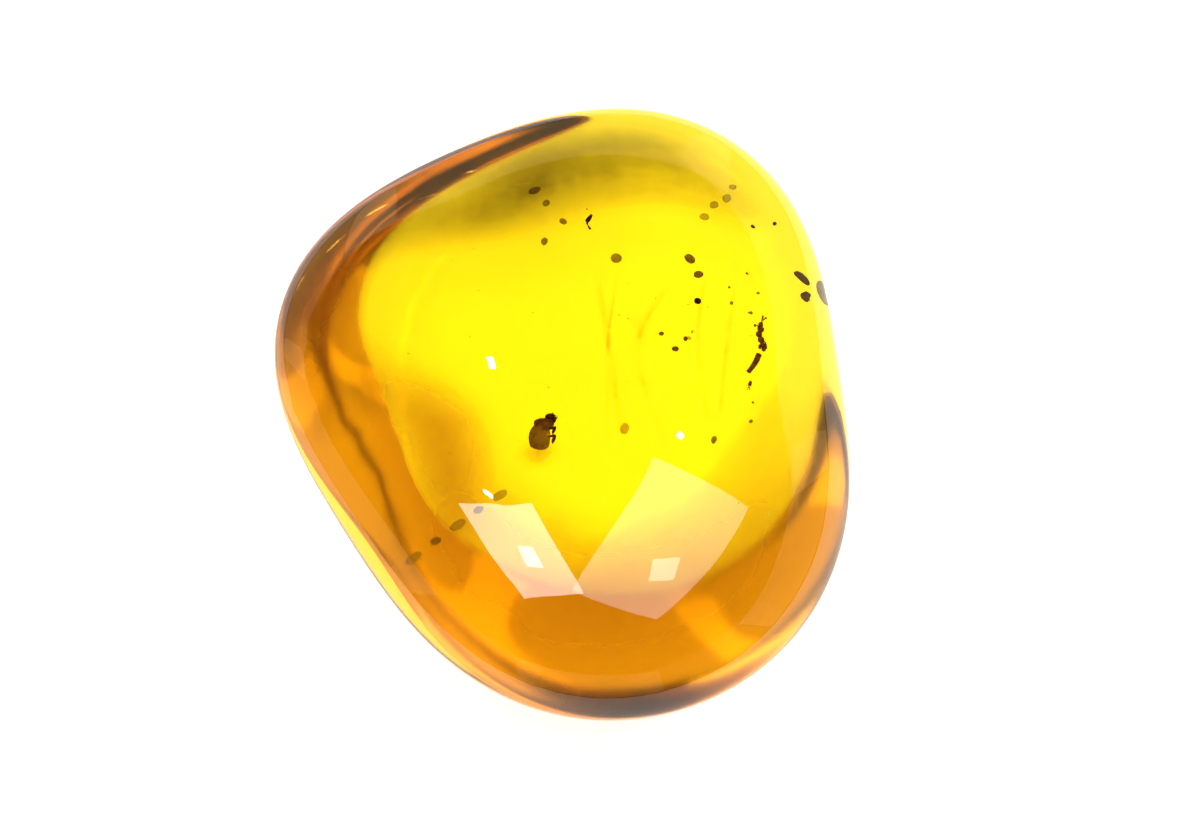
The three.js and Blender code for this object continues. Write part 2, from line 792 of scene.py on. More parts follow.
@dataclass
class Beetle:
    """A small beetle on its side: domed wing cases, collar, head, bent legs and feelers.

    It is built in its own axes, head towards +X and back up, in millimetres.
    """

    pose: Pose
    body_length: float = 1.04
    body_width: float = 0.70
    body_height: float = 0.84
    collar_length: float = 0.50
    head_length: float = 0.26
    head_drop: float = 0.27  # how far the head is tucked under
    suture_width: float = 0.016
    suture_depth: float = 0.022
    belly_rings: int = 5
    ring_depth: float = 0.014
    leg_spread: float = 0.13

    def wing_cases(self) -> bpy.types.Object:
        """The domed back with the seam between the two wing cases, and the ringed belly.

        Returns:
            The hind body.
        """
        body = rounded_form(
            "beetle_wing_cases",
            (-self.body_length * 0.42, 0, 0),
            (self.body_length, self.body_width, self.body_height),
            segments=32,
            rings=24,
        )
        tiny = 1e-4 * MM
        middle = -self.body_length * 0.42 * MM
        half_length = self.body_length / 2 * MM
        with editing(body) as edit:
            select_vertices(edit, lambda p: p.z < -0.02 * MM)
            bpy.ops.transform.resize(value=(1, 1, 0.72), center_override=(middle, 0, 0))
            tail = middle - 0.55 * half_length
            select_vertices(edit, lambda p: p.x < tail)
            bpy.ops.transform.resize(value=(0.62, 1.06, 1.1), center_override=(tail, 0, 0))
            select_vertices(
                edit,
                lambda p: abs(p.y) < tiny and p.z > 0 and abs(p.x - middle) < 0.93 * half_length,
            )
            bpy.ops.mesh.bevel(
                offset=self.suture_width * MM, segments=2, affect="EDGES", clamp_overlap=True
            )
            edit = bmesh.from_edit_mesh(body.data)
            select_vertices(
                edit,
                lambda p: abs(p.y) < 0.003 * MM
                and p.z > 0.3 * self.body_height / 2 * MM
                and abs(p.x - middle) < 0.9 * half_length,
            )
            bpy.ops.transform.translate(value=(0, 0, -self.suture_depth * MM))
            for ring in range(self.belly_rings):
                at = middle + half_length * (0.62 - 0.3 * ring)
                select_vertices(
                    edit,
                    lambda p, at=at: p.z < -0.05 * MM and abs(p.x - at) < 0.02 * MM,
                )
                bpy.ops.transform.translate(value=(0, 0, self.ring_depth * MM))
        rounding = body.modifiers.new("rounding", "SUBSURF")
        rounding.levels = rounding.render_levels = 1
        apply_modifiers(body)
        return body

    def collar_and_head(self) -> bpy.types.Object:
        """The collar behind the head, the lowered head with its jaws, and the two eyes.

        Returns:
            The fore body.
        """
        collar = rounded_form(
            "collar",
            (self.collar_length * 0.10, 0, -0.07),
            (self.collar_length, self.body_width * 0.9, self.body_height * 0.80),
        )
        with editing(collar) as edit:
            front = self.collar_length * 0.3 * MM
            select_vertices(edit, lambda p: p.x > front)
            bpy.ops.transform.resize(value=(0.6, 0.92, 0.92), center_override=(front, 0, 0))
        head = rounded_form(
            "head",
            (self.collar_length * 0.25 + self.head_length * 0.6, 0, -self.head_drop),
            (self.head_length, self.body_width * 0.5, self.body_height * 0.42),
        )
        nose = self.collar_length * 0.25 + self.head_length * 1.05
        jaws = [
            rounded_form(
                "jaw", (nose, 0.026 * side, -self.head_drop - 0.08), (0.10, 0.04, 0.05), 10, 8
            )
            for side in (-1, 1)
        ]
        brow = self.collar_length * 0.25 + self.head_length * 0.75
        eyes = [
            rounded_form(
                "eye", (brow, 0.145 * side, -self.head_drop + 0.03), (0.09, 0.06, 0.10), 14, 10
            )
            for side in (-1, 1)
        ]
        return joined("beetle_head", [collar, head, *jaws, *eyes])

    def legs(self) -> bpy.types.Object:
        """Three pairs of legs, tucked as a dying beetle folds them.

        Returns:
            All six legs.
        """
        limbs = []
        belly = -self.body_height * 0.34
        for row, (root_x, knee_x, shin_x) in enumerate(
            ((0.10, 0.24, 0.10), (-0.14, -0.06, -0.24), (-0.40, -0.36, -0.56))
        ):
            for side in (-1, 1):
                limbs.append(
                    grow_limb(
                        f"leg_{row}_{side}",
                        (
                            (root_x, self.leg_spread * side, belly + 0.06),
                            (root_x + 0.02, (self.leg_spread + 0.05) * side, belly - 0.04),
                            (knee_x, (self.leg_spread + 0.08) * side, belly - 0.15),
                            (shin_x, self.leg_spread * side, belly - 0.10),
                            (shin_x - 0.05, (self.leg_spread - 0.06) * side, belly - 0.08),
                            (shin_x - 0.09, (self.leg_spread - 0.07) * side, belly - 0.10),
                        ),
                        (0.040, 0.050, 0.044, 0.026, 0.018, 0.010),
                        smoothing=1,
                    )
                )
        return joined("beetle_legs", limbs)

    def feelers(self) -> bpy.types.Object:
        """Two feelers, beaded and thicker at the tip.

        Returns:
            Both feelers.
        """
        limbs = []
        root = self.collar_length * 0.25 + self.head_length * 0.9
        for side in (-1, 1):
            joints = []
            radii = []
            for bead in range(9):
                along = bead / 8
                joints.append(
                    (
                        root - 0.16 * along * along,
                        (0.09 + 0.10 * along) * side,
                        -self.head_drop - 0.04 - 0.17 * math.sin(along * 2.0),
                    )
                )
                radii.append((0.010 if bead % 2 else 0.014) + (0.008 if bead > 5 else 0.0))
            limbs.append(grow_limb(f"feeler_{side}", joints, radii, smoothing=1))
        return joined("beetle_feelers", limbs)

    def build(self) -> None:
        """Builds the beetle and lays it in its place."""
        # Painted light on the shell: paler round this place on its flank, where light comes through one
        # wall.
        flank = self.pose.matrix() @ Vector((-0.42 * MM, 0, -0.04 * MM))
        shell = HollowCuticle("beetle_cuticle_fossil", lit_flank=flank, lit_flank_mm=0.36).build()
        limb_finish = HollowCuticle(
            "beetle_limb_cuticle_fossil", dark="341604", light="5e3008"
        ).build()
        for piece, finish in (
            (self.wing_cases(), shell),
            (self.collar_and_head(), shell),
            (self.legs(), limb_finish),
            (self.feelers(), limb_finish),
        ):
            place_mesh(piece, self.pose)
            settle(piece, finish)


@dataclass
class ThripsHusk:
    """The husk of a slender insect, fallen into three: fore body, hind body and tail tip.

    Places are in millimetres from the waist, X across the stone and Y along it.
    """

    waist: Vector
    tail_radius: float = 0.115
    tail_rings: int = 7

    def fore_body(self) -> bpy.types.Object:
        """Head, knobbly thorax, two bent legs and a pair of feelers.

        Returns:
            The fore body.
        """
        lumps = (
            ((-0.02, 0.92, 0.05), (0.22, 0.17, 0.15)),
            ((-0.03, 0.75, 0.04), (0.26, 0.24, 0.18)),
            ((-0.10, 0.56, 0.02), (0.25, 0.22, 0.18)),
            ((-0.04, 0.36, 0.02), (0.27, 0.23, 0.19)),
            ((0.01, 0.17, 0.01), (0.22, 0.20, 0.17)),
            ((0.03, 0.01, 0.0), (0.18, 0.15, 0.14)),
            ((-0.09, 0.10, -0.02), (0.20, 0.12, 0.11)),
        )
        parts = []
        for place, size in lumps:
            lump = rounded_form("lump", (0, 0, 0), size, 16, 12)
            place_mesh(lump, Pose(Vector(place) * MM, heading=80))
            parts.append(lump)
        legs = (
            ((-0.04, 0.78, 0.05), (-0.16, 0.88, 0.09), (-0.23, 0.90, 0.10), (-0.21, 0.80, 0.08)),
            ((0.02, 0.34, 0.02), (0.12, 0.26, 0.08), (0.13, 0.10, 0.09), (0.10, 0.00, 0.08)),
        )
        for joints in legs:
            parts.append(grow_limb("leg", joints, (0.045, 0.056, 0.050, 0.022)))
        for bend, tip in ((0.0, 1.27), (0.13, 1.20)):
            parts.append(
                grow_limb(
                    "feeler",
                    (
                        (0.0, 0.94, 0.06),
                        (0.02 + bend * 0.2, 1.04, 0.08),
                        (0.05 + bend * 0.5, 1.14, 0.10),
                        (0.08 + bend, tip, 0.11),
                    ),
                    (0.050, 0.042, 0.030, 0.010),
                )
            )
        return joined("husk_fore_body", parts)

    def hind_body(self) -> bpy.types.Object:
        """The ringed hind body: a tube drawn in between its rings.

        Returns:
            The hind body.
        """
        joints = []
        radii = []
        steps = self.tail_rings * 2
        for step in range(steps + 1):
            along = step / steps
            bow = 0.05 * math.sin(math.pi * along)
            joints.append((-0.12 - 0.42 * along + bow, -0.14 - 0.76 * along, -0.02 * along))
            swell = 0.80 + 0.20 * math.sin(math.pi * min(1.0, 0.25 + along))
            ringed = 1.0 if step % 2 else 0.88
            radii.append(self.tail_radius * swell * ringed)
        return joined("husk_hind_body", [grow_limb("hind_body", joints, radii)])

    def tail_tip(self) -> bpy.types.Object:
        """The broken tail tip with its two short prongs.

        Returns:
            The tail tip.
        """
        stub = grow_limb(
            "stub",
            ((-0.44, -1.18, -0.03), (-0.47, -1.28, -0.03), (-0.51, -1.40, -0.02)),
            (0.050, 0.082, 0.060),
        )
        prongs = [
            grow_limb(
                "prong",
                ((-0.51, -1.40, -0.02), (-0.53 + lean, -1.48, -0.01), (-0.54 + lean, -1.55, 0.0)),
                (0.034, 0.026, 0.010),
                smoothing=1,
            )
            for lean in (-0.02, 0.04)
        ]
        return joined("husk_tail_tip", [stub, *prongs])

    def build(self) -> None:
        """Builds the husk's three pieces and puts them in place."""
        finish = HollowCuticle(
            "husk_cuticle_fossil", dark="5a2604", light="8c4c06", opacity=0.86
        ).build()
        for piece in (self.fore_body(), self.hind_body(), self.tail_tip()):
            place_mesh(piece, Pose(self.waist))
            settle(piece, finish)


@dataclass
class BentLeg:
    """A single bent insect leg, broken off at its root."""

    pose: Pose

    def build(self) -> None:
        """Builds the leg and puts it in place."""
        thigh = grow_limb(
            "thigh",
            ((0.17, 0.29, 0.0), (0.11, 0.18, 0.01), (0.03, 0.05, 0.02), (-0.01, -0.03, 0.02)),
            (0.040, 0.070, 0.098, 0.074),
        )
        shin = grow_limb(
            "shin",
            ((-0.01, -0.02, 0.02), (0.03, -0.13, 0.02), (0.07, -0.23, 0.01), (0.13, -0.31, 0.0)),
            (0.064, 0.050, 0.040, 0.018),
        )
        leg = joined("bent_leg", [thigh, shin])
        place_mesh(leg, self.pose)
        settle(leg, HollowCuticle("leg_cuticle_fossil", dark="120702", light="3a1c08").build())


@dataclass
class Spore:
    """A flat round spore with a raised rim, brown and partly clear."""

    pose: Pose
    width: float = 0.37
    thickness: float = 0.13

    def build(self) -> None:
        """Builds the spore and puts it in place."""
        bpy.ops.object.select_all(action="DESELECT")
        bpy.ops.mesh.primitive_cylinder_add(
            vertices=40, radius=self.width / 2 * MM, depth=self.thickness * MM, location=(0, 0, 0)
        )
        spore = bpy.context.object
        with editing(spore) as edit:
            bpy.ops.mesh.select_mode(type="FACE")
            for face in edit.faces:
                face.select = abs(face.normal.z) > 0.9
            bpy.ops.mesh.inset(thickness=0.24 * self.width * MM, depth=-0.2 * self.thickness * MM)
            bpy.ops.mesh.inset(thickness=0.10 * self.width * MM, depth=0.1 * self.thickness * MM)
            bpy.ops.mesh.select_all(action="SELECT")
            bpy.ops.mesh.bevel(offset=0.02 * self.width * MM, segments=2, affect="EDGES")
        rounding = spore.modifiers.new("rounding", "SUBSURF")
        rounding.levels = rounding.render_levels = 1
        apply_modifiers(spore)
        joined("spore", [spore])
        place_mesh(spore, self.pose)
        finish = Mottled("spore_wall_fossil", "6a4c06", "94740c", grain_mm=0.07, alpha=0.6)
        settle(spore, finish.build())


class Tone(Enum):
    """What a crumb is made of, which sets its colour; the frass and old-resin tones also paint a
    reflection.
    """

    BLACK_BARK = "black_bark"
    BROWN_BARK = "brown_bark"
    FRASS_AND_REFLECTION = "frass_and_reflection"
    OLD_RESIN_AND_REFLECTION = "old_resin_and_reflection"


CRUMB_FINISHES = {
    Tone.BLACK_BARK: Mottled("bark_black_fossil", "0e0602", "2e1606", grain_mm=0.05, roughness=0.7),
    Tone.BROWN_BARK: Mottled("bark_brown_fossil", "4e3204", "7c5c0a", grain_mm=0.06, alpha=0.75),
    Tone.FRASS_AND_REFLECTION: Mottled("frass_and_reflection_olive", "6a560a", "94780e", grain_mm=0.05, alpha=0.62),
    Tone.OLD_RESIN_AND_REFLECTION: Mottled("resin_crumb_and_reflection_dark", "967404", "b8940c", grain_mm=0.08, alpha=0.4),
}


@dataclass(frozen=True)
class Crumb:
    """One crumb in the resin: what it is, where it lies, its size and how it is turned."""

    tone: Tone
    place: tuple[float, float, float]  # shares of the stone's box
    size: tuple[float, float, float]  # whole length, width and height in millimetres
    heading: float = 0.0  # degrees about +Z


@dataclass
class Crumbs:
    """Crumbs of bark, droppings and old resin, and a line of crumbs painted as a reflection: small
    uneven grains, joined by what they are.
    """

    stone: Stone
    crumbs: Sequence[Crumb]
    unevenness: float = 0.16  # of a grain's radius

    def grain(self, crumb: Crumb, seed: int) -> bpy.types.Object:
        """One uneven grain.

        Args:
            crumb: its size, place and turn.
            seed: sets its own unevenness.

        Returns:
            The grain in its place.
        """
        grain = faceted_ball(3)
        with editing(grain):
            bpy.ops.mesh.select_all(action="SELECT")
            bpy.ops.transform.vertex_random(
                offset=self.unevenness * 0.5 * MM, uniform=0.4, normal=0.6, seed=seed
            )
            bpy.ops.mesh.vertices_smooth(factor=0.5, repeat=2)
            bpy.ops.transform.resize(value=crumb.size)
        place_mesh(grain, Pose(self.stone.at(*crumb.place), heading=crumb.heading))
        return grain

    def build(self) -> None:
        """Builds every crumb and joins those of one kind."""
        for tone in Tone:
            grains = [
                self.grain(crumb, seed)
                for seed, crumb in enumerate(self.crumbs, start=1)
                if crumb.tone is tone
            ]
            if grains:
                piece = joined(f"crumbs_{tone.value}", grains)
                settle(piece, CRUMB_FINISHES[tone].build())


@dataclass(frozen=True)
class SoftPaintedShade:
    """Painted shade with no edge: densest at its middle and gone at its rim."""

    name: str
    colour: str  # sRGB hex
    strongest: float  # alpha at the middle
    pose: Pose
    reach: tuple[float, float]  # half length and half width in millimetres
    lump_mm: float = 0.5  # size of its denser lumps

    def build(self) -> bpy.types.Material:
        """Makes the material.

        Returns:
            The painted shade.
        """
        material, tree, shader = start_material(self.name)
        shader.inputs["Base Color"].default_value = linear_rgb(self.colour)
        shader.inputs["Roughness"].default_value = 0.9
        where = add_node(tree, "ShaderNodeTexCoord").outputs["Object"]
        to_own = self.pose.matrix().inverted()
        own = add_node(
            tree,
            "ShaderNodeMapping",
            values={"Location": tuple(to_own.translation), "Rotation": tuple(to_own.to_euler())},
            links={"Vector": where},
        )
        half_length, half_width = self.reach
        unit = add_node(
            tree,
            "ShaderNodeMapping",
            values={"Scale": (1 / (half_length * MM), 1 / (half_width * MM), 0.0)},
            links={"Vector": own.outputs["Vector"]},
        )
        fade = add_node(
            tree,
            "ShaderNodeTexGradient",
            settings={"gradient_type": "SPHERICAL"},
            links={"Vector": unit.outputs["Vector"]},
        )
        lumps = add_node(
            tree,
            "ShaderNodeTexNoise",
            values={"Scale": 1 / (self.lump_mm * MM), "Detail": 3.0},
            links={"Vector": where},
        )
        uneven = add_node(
            tree,
            "ShaderNodeMapRange",
            values={"From Min": 0.3, "From Max": 0.7, "To Min": 0.6, "To Max": 1.0},
            links={"Value": lumps.outputs["Fac"]},
        )
        soft = add_node(
            tree,
            "ShaderNodeMapRange",
            settings={"interpolation_type": "SMOOTHSTEP"},
            values={"To Max": self.strongest},
            links={"Value": fade.outputs["Fac"]},
        )
        alpha = add_node(
            tree,
            "ShaderNodeMath",
            settings={"operation": "MULTIPLY"},
            links={0: soft.outputs["Result"], 1: uneven.outputs["Result"]},
        )
        tree.links.new(alpha.outputs["Value"], shader.inputs["Alpha"])
        return material


@dataclass
class PaintedShadeLeaf:
    """A faint, soft leaf of painted shade in the resin: one thin curved sheet."""

    name: str
    pose: Pose
    size: tuple[float, float]  # whole length and width in millimetres
    colour: str = "6e5a0a"
    strongest: float = 0.5
    sag: float = 0.12  # how far the middle hangs below the rim, in millimetres

    def build(self) -> None:
        """Builds the leaf of painted shade and puts it in place."""
        bpy.ops.object.select_all(action="DESELECT")
        bpy.ops.mesh.primitive_grid_add(
            x_subdivisions=16, y_subdivisions=16, size=1.0 * MM, location=(0, 0, 0)
        )
        shade_leaf = bpy.context.object
        length, width = self.size
        with editing(shade_leaf) as edit:
            for vertex in edit.verts:
                out = min(1.0, math.hypot(vertex.co.x, vertex.co.y) / (0.5 * MM))
                vertex.co.z = -self.sag * (1 - out * out) * MM
            bpy.ops.mesh.select_all(action="SELECT")
            bpy.ops.transform.resize(value=(length, width, 1))
        joined(self.name, [shade_leaf])
        place_mesh(shade_leaf, self.pose)
        haze = SoftPaintedShade(
            f"{self.name}_haze", self.colour, self.strongest, self.pose, (length / 2, width / 2)
        )
        settle(shade_leaf, haze.build())


@dataclass
class BarkChips:
    """Splinters of bark near the right wall, and the crust where the bark met the surface."""

    stone: Stone
    worn_edge: float = 0.012  # millimetres
    crust_depth: float = 0.16  # of its middle under the skin, millimetres

    def splinter(
        self, pose: Pose, size: tuple[float, float, float], cuts: Sequence[tuple[float, ...]]
    ) -> bpy.types.Object:
        """A split piece of bark: a ball cut off flat on several sides, with worn edges.

        Args:
            pose: where it lies.
            size: its whole length, width and height in millimetres, before cutting.
            cuts: each cut's direction and its share of the radius.

        Returns:
            The splinter in its place.
        """
        splinter = faceted_ball(3)
        with editing(splinter):
            for x, y, z, share in cuts:
                way = Vector((x, y, z)).normalized()
                bpy.ops.mesh.select_all(action="SELECT")
                bpy.ops.mesh.bisect(
                    plane_co=way * share * 0.5 * MM,
                    plane_no=way,
                    use_fill=True,
                    clear_outer=True,
                )
            bpy.ops.mesh.select_all(action="SELECT")
            bpy.ops.transform.resize(value=size)
        worn = splinter.modifiers.new("worn_edges", "BEVEL")
        worn.width = self.worn_edge * MM
        worn.segments = 2
        worn.limit_method = "ANGLE"
        apply_modifiers(splinter)
        place_mesh(splinter, pose)
        return splinter

    def crust(self) -> bpy.types.Object:
        """The thin crust that follows the inside of the polished surface.

        Returns:
            The crust.
        """
        middle = self.stone.at(0.905, 0.325, 0.61)
        spot, normal = self.stone.skin_near(middle)
        crust = faceted_ball(4)
        with editing(crust):
            bpy.ops.mesh.select_all(action="SELECT")
            bpy.ops.transform.vertex_random(offset=0.03 * MM, uniform=0.5, normal=0.5, seed=31)
            bpy.ops.mesh.vertices_smooth(factor=0.5, repeat=2)
            bpy.ops.transform.resize(value=(0.95, 0.95, 0.2))
        flat_on = Vector((0, 0, 1)).rotation_difference(normal).to_matrix().to_4x4()
        inside = spot - normal * self.crust_depth * MM
        crust.data.transform(Matrix.Translation(inside) @ flat_on)
        return crust

    def build(self) -> None:
        """Builds the splinters and the crust."""
        long_chip = self.splinter(
            Pose(self.stone.at(0.82, 0.36, 0.62), heading=-38, pitch=10, roll=20),
            (0.76, 0.34, 0.26),
            ((1, 0.3, 0.2, 0.7), (-1, 0.4, 0, 0.72), (0, 1, 0.4, 0.5), (0, -1, 0.5, 0.62)),
        )
        wedge_chip = self.splinter(
            Pose(self.stone.at(0.835, 0.295, 0.63), heading=-62, pitch=-8, roll=-15),
            (0.52, 0.44, 0.26),
            ((1, 0.8, 0, 0.35), (1, -0.8, 0.2, 0.35), (-1, 0, 0, 0.6), (0, 0, 1, 0.5)),
        )
        chips = joined("bark_chips", [long_chip, wedge_chip])
        settle(chips, Mottled("bark_chip_fossil", "2a1402", "5e3c0a", grain_mm=0.06, alpha=0.92).build())
        crust = joined("bark_crust", [self.crust()])
        settle(crust, Mottled("bark_crust_grey", "6a5638", "9c8560", 0.10, alpha=0.7).build())


@dataclass
class Dust:
    """The finest dust, spread through the stone's upper half as the resin ran."""

    stone: Stone
    grains: int = 40
    smallest: float = 0.035  # millimetres
    largest: float = 0.07
    seed: int = 7

    def build(self) -> None:
        """Scatters the dust and joins it into one piece."""
        chance = random.Random(self.seed)
        master = faceted_ball(2)
        parts = []
        for _ in range(self.grains):
            turn = chance.uniform(0, math.tau)
            reach = 0.72 * math.sqrt(chance.random())
            place = self.stone.at(
                reach * math.cos(turn) + 0.06, reach * math.sin(turn), chance.uniform(0.5, 0.74)
            )
            size = chance.uniform(self.smallest, self.largest)
            grain = master.copy()
            grain.data = master.data.copy()
            bpy.context.collection.objects.link(grain)
            grain.data.transform(Matrix.Diagonal((size, size * 0.8, size * 0.7, 1.0)))
            place_mesh(grain, Pose(place, heading=math.degrees(turn)))
            parts.append(grain)
        select_only(master)
        bpy.ops.object.delete()
        dust = joined("dust", parts)
        settle(dust, Mottled("dust_brown", "6e4c08", "9c7818", grain_mm=0.04, alpha=0.45).build())


@dataclass(frozen=True)
class Streak:
    """A long thin film in the resin, along a smooth line through a few places."""

    line: tuple[tuple[float, float, float], ...]  # shares of the stone's box
    width: float  # millimetres

    def places(self, stone: Stone, steps: int) -> list[Vector]:
        """The film's middle line.

        Args:
            stone: the stone it lies in.
            steps: how many stretches the line has.

        Returns:
            Evenly numbered places along it.
        """
        knots = [stone.at(*place) for place in self.line]
        knots = [2 * knots[0] - knots[1], *knots, 2 * knots[-1] - knots[-2]]
        spans = len(knots) - 3
        places = []
        for step in range(steps + 1):
            along = min(step / steps * spans, spans - 1e-6)
            span, t = int(along), along % 1.0
            a, b, c, d = knots[span : span + 4]
            places.append(
                0.5
                * (
                    2 * b
                    + (c - a) * t
                    + (2 * a - 5 * b + 4 * c - d) * t**2
                    + (3 * b - a - 3 * c + d) * t**3
                )
            )
        return places


@dataclass(frozen=True)
class RimBand:
    """A long film that follows the stone's own rim at one height, some way in from the skin."""

    first: float  # azimuth where it starts, degrees from +X towards +Y
    last: float
    up: float  # height, as a share of the stone's
    inset: float  # distance in from the skin at its two ends, millimetres
    width: float  # millimetres
    bow: float = 0.0  # how much farther in its middle lies, millimetres

    def places(self, stone: Stone, steps: int) -> list[Vector]:
        """The film's middle line.

        Args:
            stone: the stone it lies in.
            steps: how many stretches the line has.

        Returns:
            Evenly numbered places along it.
        """
        places = []
        for step in range(steps + 1):
            share = step / steps
            azimuth = math.radians(self.first + (self.last - self.first) * share)
            outward = Vector((math.cos(azimuth), math.sin(azimuth), 0))
            inset = self.inset + self.bow * math.sin(math.pi * share)
            places.append(stone.rim(outward, self.up) - outward * inset * MM)
        return places


@dataclass
class Films:
    """Long thin films in the resin, each a ribbon along its own bent line."""

    stone: Stone
    name: str
    finish: FadingFilm
    streaks: Sequence[Streak | RimBand]
    lie: Vector = field(default_factory=lambda: Vector((0, 0, 1)))  # what the films face
    steps: int = 28

    def ribbon(self, streak: Streak | RimBand) -> bpy.types.Object:
        """One film, with its long edges at the two sides of its unwrapping.

        Args:
            streak: the film's middle line and width.

        Returns:
            The ribbon.
        """
        places = streak.places(self.stone, self.steps)
        bpy.ops.object.select_all(action="DESELECT")
        bpy.ops.mesh.primitive_grid_add(
            x_subdivisions=self.steps, y_subdivisions=4, size=2.0, calc_uvs=True, location=(0, 0, 0)
        )
        ribbon = bpy.context.object
        with editing(ribbon) as edit:
            for vertex in edit.verts:
                share = (vertex.co.x + 1) / 2
                here = min(round(share * self.steps), self.steps)
                ahead = places[min(here + 1, self.steps)] - places[max(here - 1, 0)]
                sideways = ahead.cross(self.lie).normalized()
                taper = math.sin(math.pi * (0.06 + 0.88 * share)) ** 0.6
                across = vertex.co.y * streak.width / 2 * taper * MM
                vertex.co = self.stone.kept_inside(places[here] + sideways * across)
            bmesh.update_edit_mesh(ribbon.data)
        return ribbon

    def build(self) -> None:
        """Builds the films and joins them into one piece."""
        films = joined(self.name, [self.ribbon(streak) for streak in self.streaks])
        settle(films, self.finish.build())


# ---------------------------------------------------------------------------------------
# The studio
# ---------------------------------------------------------------------------------------


@dataclass(frozen=True)
class Lamp:
    """A soft box, a gold card or a small lamp, by where it stands as seen from the stone."""

    name: str
    azimuth: float  # degrees from +X towards +Y
    elevation: float  # degrees above the table
    distance: float  # metres
    width: float  # metres
    depth: float
    radiance: float  # watts per square metre and steradian
    turn: float = 0.0  # degrees about its own beam
    colour: str = "ffffff"

    @property
    def power(self) -> float:
        """Watts that give the lamp's face its radiance."""
        return self.radiance * math.pi * self.width * self.depth

    @property
    def place(self) -> Vector:
        """Where the lamp hangs, in metres from the middle of the table."""
        level = math.cos(math.radians(self.elevation)) * self.distance
        turn = math.radians(self.azimuth)
        up = math.sin(math.radians(self.elevation)) * self.distance
        return Vector((level * math.cos(turn), level * math.sin(turn), up))


SOFT_BOXES = (
    Lamp("softbox_left", 177, 81.5, 0.55, 0.20, 0.27, 7.6, turn=-69),
    Lamp("softbox_right", 7.5, 67, 0.55, 0.27, 0.40, 3.4, turn=57),
)

# Small bright lamps: the tubes inside the soft boxes, and bare ones beyond them.
SMALL_LAMPS = (
    Lamp("tube_left", 172, 83.5, 0.54, 0.040, 0.060, 12, turn=-69),
    Lamp("tube_right", -1, 66, 0.54, 0.070, 0.060, 6),
    Lamp("bare_far_left", 94, 53, 0.56, 0.008, 0.016, 60),
    Lamp("bare_far_right", 53, 52, 0.56, 0.012, 0.010, 60),
    Lamp("bare_left", 130, 70, 0.56, 0.011, 0.018, 50, turn=25),
)

# Pale gold cards that stand round the stone and light its walls from low down.
CARD_AZIMUTHS = (0, 45, 90, 135, 180, 225, 270, 315)
CARD_RADIANCES = (0.80, 0.92, 0.92, 0.85, 0.85, 0.35, 0.60, 0.20)
GOLD_CARDS = tuple(
    Lamp(f"card_{azimuth}", azimuth, 15, 0.60, 0.58, 0.29, radiance, colour="ffe0a8")
    for azimuth, radiance in zip(CARD_AZIMUTHS, CARD_RADIANCES)
)


